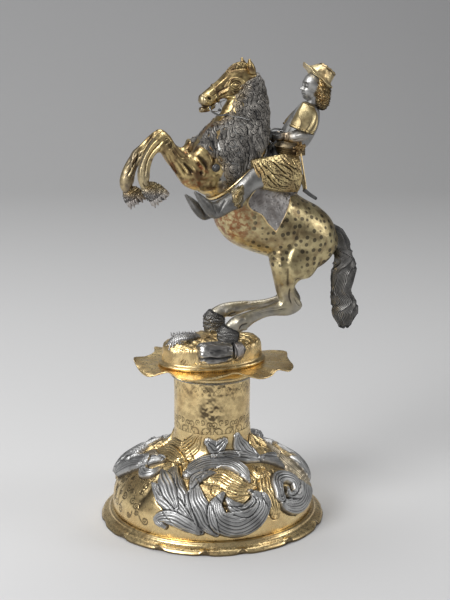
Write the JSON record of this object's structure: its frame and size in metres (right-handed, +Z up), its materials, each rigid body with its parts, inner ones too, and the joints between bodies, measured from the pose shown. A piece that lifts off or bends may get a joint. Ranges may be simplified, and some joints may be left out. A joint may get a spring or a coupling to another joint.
{
  "type": "figural drinking cup",
  "caption": "Standing cup shaped as a rearing horse and rider on a mound, a stem and a domed foot; the horse's neck, head and forelegs lift off as the cover.",
  "frame": {"origin": "centre of the whole object in plan, on the plane the foot stands on", "axes": "+Z up; +X from the horse's nose to its tail; +Y from the horse's left side, the one that is seen, to its right side"},
  "size_m": [0.1935, 0.165, 0.3393],
  "materials": {
    "foot_flange": "polished gilt over raised silver",
    "foot_dome": "polished gilt over raised silver",
    "stem_tube": "polished gilt over raised silver",
    "stem_washer": "polished silver",
    "collar": "polished gilt over raised silver",
    "mound": "polished gilt over raised silver",
    "lizard": "tarnished silver",
    "log": "tarnished silver",
    "log_leaf": "polished silver",
    "tie_rod": "plain turned metal, not seen",
    "clamp_washer": "plain turned metal, not seen",
    "foot_nut": "plain turned metal, not seen",
    "hoof_screw_near": "plain turned metal, not seen",
    "hoof_screw_far": "plain turned metal, not seen",
    "horse_body": "worn gilt over silver, tarnished in the hollows",
    "lip_band": "tarnished silver",
    "hind_leg_near": "tarnished silver",
    "hind_leg_far": "tarnished silver",
    "hind_hoof_near": "tarnished silver",
    "hind_hoof_far": "tarnished silver",
    "tail": "tarnished silver",
    "saddle_cloth": "tarnished silver",
    "saddle": "tarnished silver",
    "pommel_plate": "polished silver",
    "coat": "polished silver",
    "sash": "polished gilt over raised silver",
    "breeches": "polished gilt over raised silver",
    "sleeve_near": "polished gilt over raised silver",
    "sleeve_far": "polished gilt over raised silver",
    "forearm_near": "polished silver",
    "forearm_far": "polished silver",
    "leg_near": "polished silver",
    "leg_far": "polished silver",
    "boot_near": "tarnished silver",
    "boot_far": "tarnished silver",
    "cuff_near": "polished gilt over raised silver",
    "cuff_far": "polished gilt over raised silver",
    "rider_head": "polished silver",
    "hat": "polished gilt over raised silver",
    "hair": "worn gilt over silver, tarnished in the hollows",
    "sword": "polished silver",
    "rein_strap": "tarnished silver",
    "neck_shell": "polished gilt over raised silver",
    "cover_rim": "polished gilt over raised silver",
    "cover_bezel": "polished silver",
    "horse_head": "worn gilt over silver, tarnished in the hollows",
    "ear_near": "polished gilt over raised silver",
    "ear_far": "polished gilt over raised silver",
    "forelock": "tarnished silver",
    "mane": "tarnished silver",
    "foreleg_near": "worn gilt over silver, tarnished in the hollows",
    "foreleg_far": "worn gilt over silver, tarnished in the hollows",
    "fore_hoof_near": "tarnished silver",
    "fore_hoof_far": "tarnished silver",
    "noseband": "polished silver",
    "bit_shank": "tarnished silver",
    "rein_rod": "tarnished silver",
    "breast_boss_near": "polished silver",
    "breast_boss_far": "polished silver"
  },
  "bodies": {
    "cup_body": {"foot_flange": "foot_flange", "foot_dome": "foot_dome", "stem_tube": "stem_tube", "stem_washer": "stem_washer", "collar": "collar", "mound": "mound", "lizard": "lizard", "log": "log", "log_leaf": "log_leaf", "tie_rod": "tie_rod", "clamp_washer": "clamp_washer", "foot_nut": "foot_nut", "hoof_screw_near": "hoof_screw_near", "hoof_screw_far": "hoof_screw_far", "horse_body": "horse_body", "lip_band": "lip_band", "hind_leg_near": "hind_leg_near", "hind_leg_far": "hind_leg_far", "hind_hoof_near": "hind_hoof_near", "hind_hoof_far": "hind_hoof_far", "tail": "tail", "saddle_cloth": "saddle_cloth", "saddle": "saddle", "pommel_plate": "pommel_plate", "coat": "coat", "sash": "sash", "breeches": "breeches", "sleeve_near": "sleeve_near", "sleeve_far": "sleeve_far", "forearm_near": "forearm_near", "forearm_far": "forearm_far", "leg_near": "leg_near", "leg_far": "leg_far", "boot_near": "boot_near", "boot_far": "boot_far", "cuff_near": "cuff_near", "cuff_far": "cuff_far", "rider_head": "rider_head", "hat": "hat", "hair": "hair", "sword": "sword", "rein_strap": "rein_strap"},
    "cover": {"neck_shell": "neck_shell", "cover_rim": "cover_rim", "cover_bezel": "cover_bezel", "horse_head": "horse_head", "ear_near": "ear_near", "ear_far": "ear_far", "forelock": "forelock", "mane": "mane", "foreleg_near": "foreleg_near", "foreleg_far": "foreleg_far", "fore_hoof_near": "fore_hoof_near", "fore_hoof_far": "fore_hoof_far", "noseband": "noseband", "bit_shank": "bit_shank", "rein_rod": "rein_rod", "breast_boss_near": "breast_boss_near", "breast_boss_far": "breast_boss_far"}
  },
  "joints": [
    {"name": "cover_lift", "type": "slide", "parent": "cup_body", "child": "cover", "axis": [-0.6743, 0, 0.7385], "range_m": [0, 0.06]}
  ]
}
